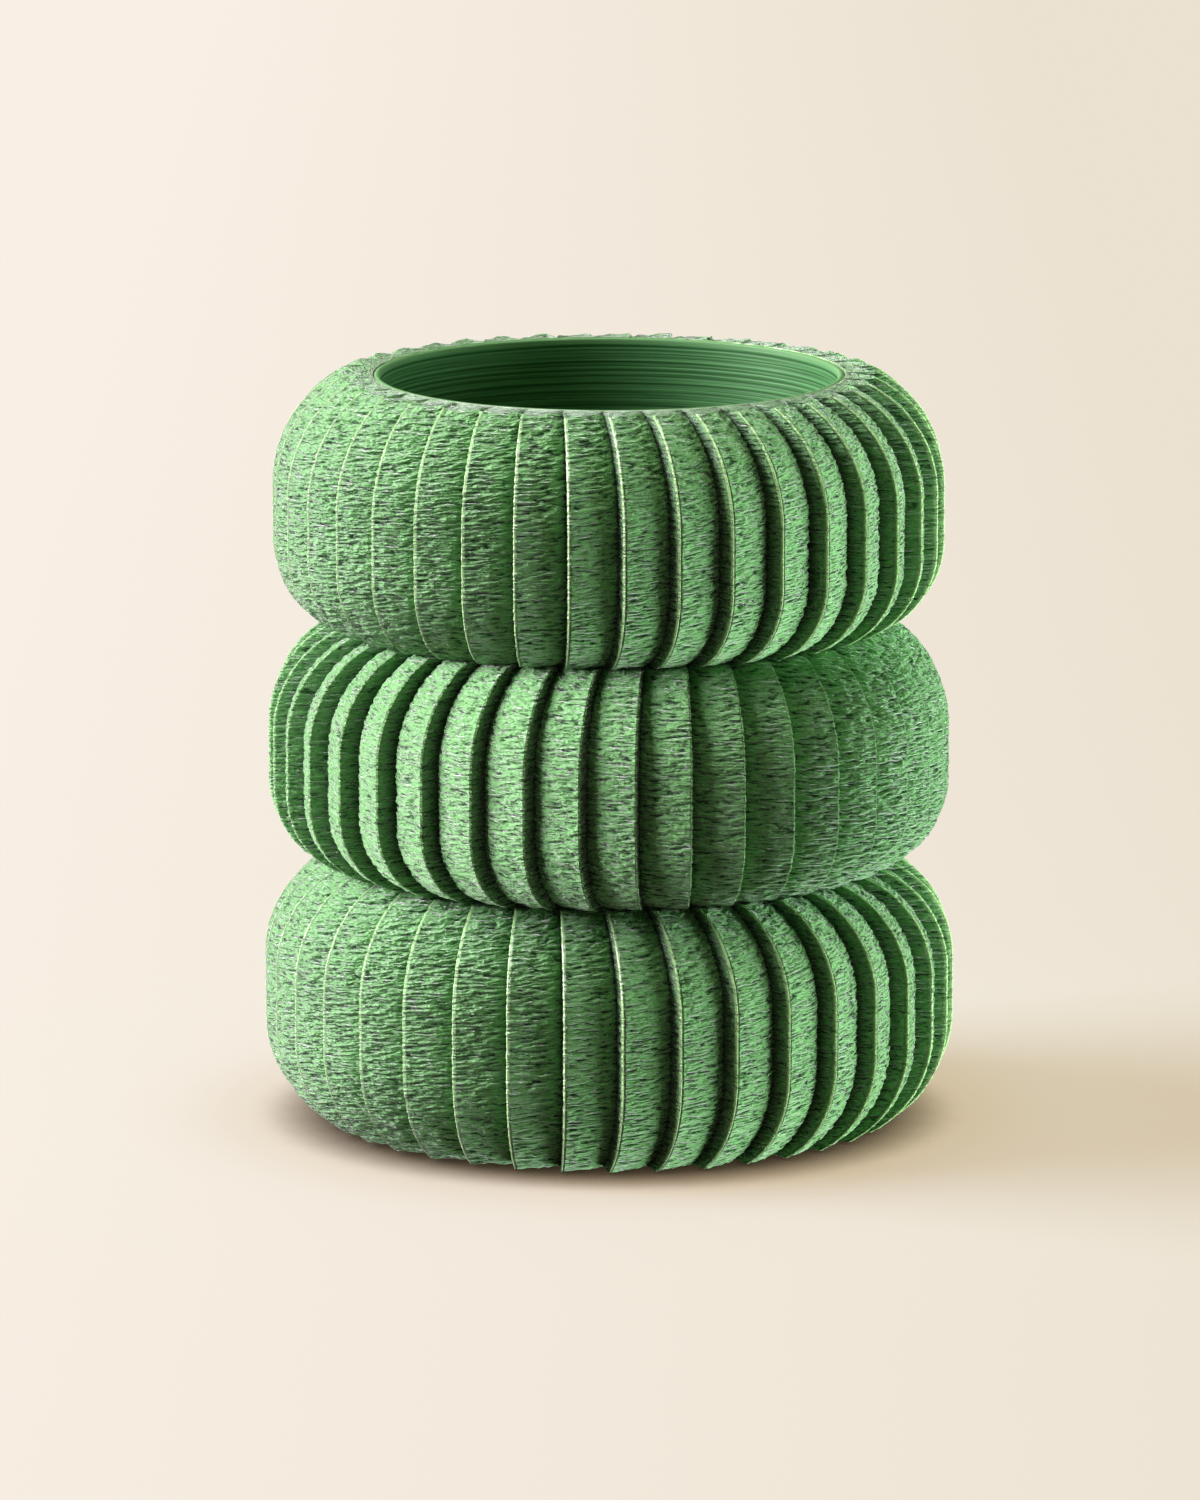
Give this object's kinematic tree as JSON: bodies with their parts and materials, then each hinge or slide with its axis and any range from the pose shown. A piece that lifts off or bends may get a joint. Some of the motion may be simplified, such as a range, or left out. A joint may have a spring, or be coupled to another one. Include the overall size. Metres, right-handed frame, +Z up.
{
  "type": "tiered planter",
  "caption": "Round floor planter of stacked bulging tiers with handed, ratchet-like ribs in green printed plastic; the tiers and the inner pot with its drip saucer lift out upwards.",
  "frame": {"origin": "on the floor, on the planter's upright axis, level with the undersides of the foot pads", "axes": "+Z up along the planter's axis, -Y towards the viewer of the picture, +X to their right"},
  "size_m": [0.3086, 0.3088, 0.3351],
  "materials": {
    "ribbed_print": "rough, fuzzy print with fine level layers",
    "pot_print": "satin print with level layer lines",
    "pads": "matt"
  },
  "bodies": {
    "base": {"bottom_tier": "ribbed_print", "foot_pad_1": "pads", "foot_pad_2": "pads", "foot_pad_3": "pads", "foot_pad_4": "pads"},
    "middle": {"middle_tier": "ribbed_print"},
    "top": {"top_tier": "ribbed_print"},
    "pot": {"inner_pot": "pot_print", "drip_saucer": "pot_print"}
  },
  "joints": [
    {"name": "middle_lift", "type": "slide", "parent": "base", "child": "middle", "axis": [0, 0, 1], "range_m": [0, 0.24]},
    {"name": "top_lift", "type": "slide", "parent": "middle", "child": "top", "axis": [0, 0, 1], "range_m": [0, 0.14]},
    {"name": "pot_lift", "type": "slide", "parent": "base", "child": "pot", "axis": [0, 0, 1], "range_m": [0, 0.35]}
  ]
}
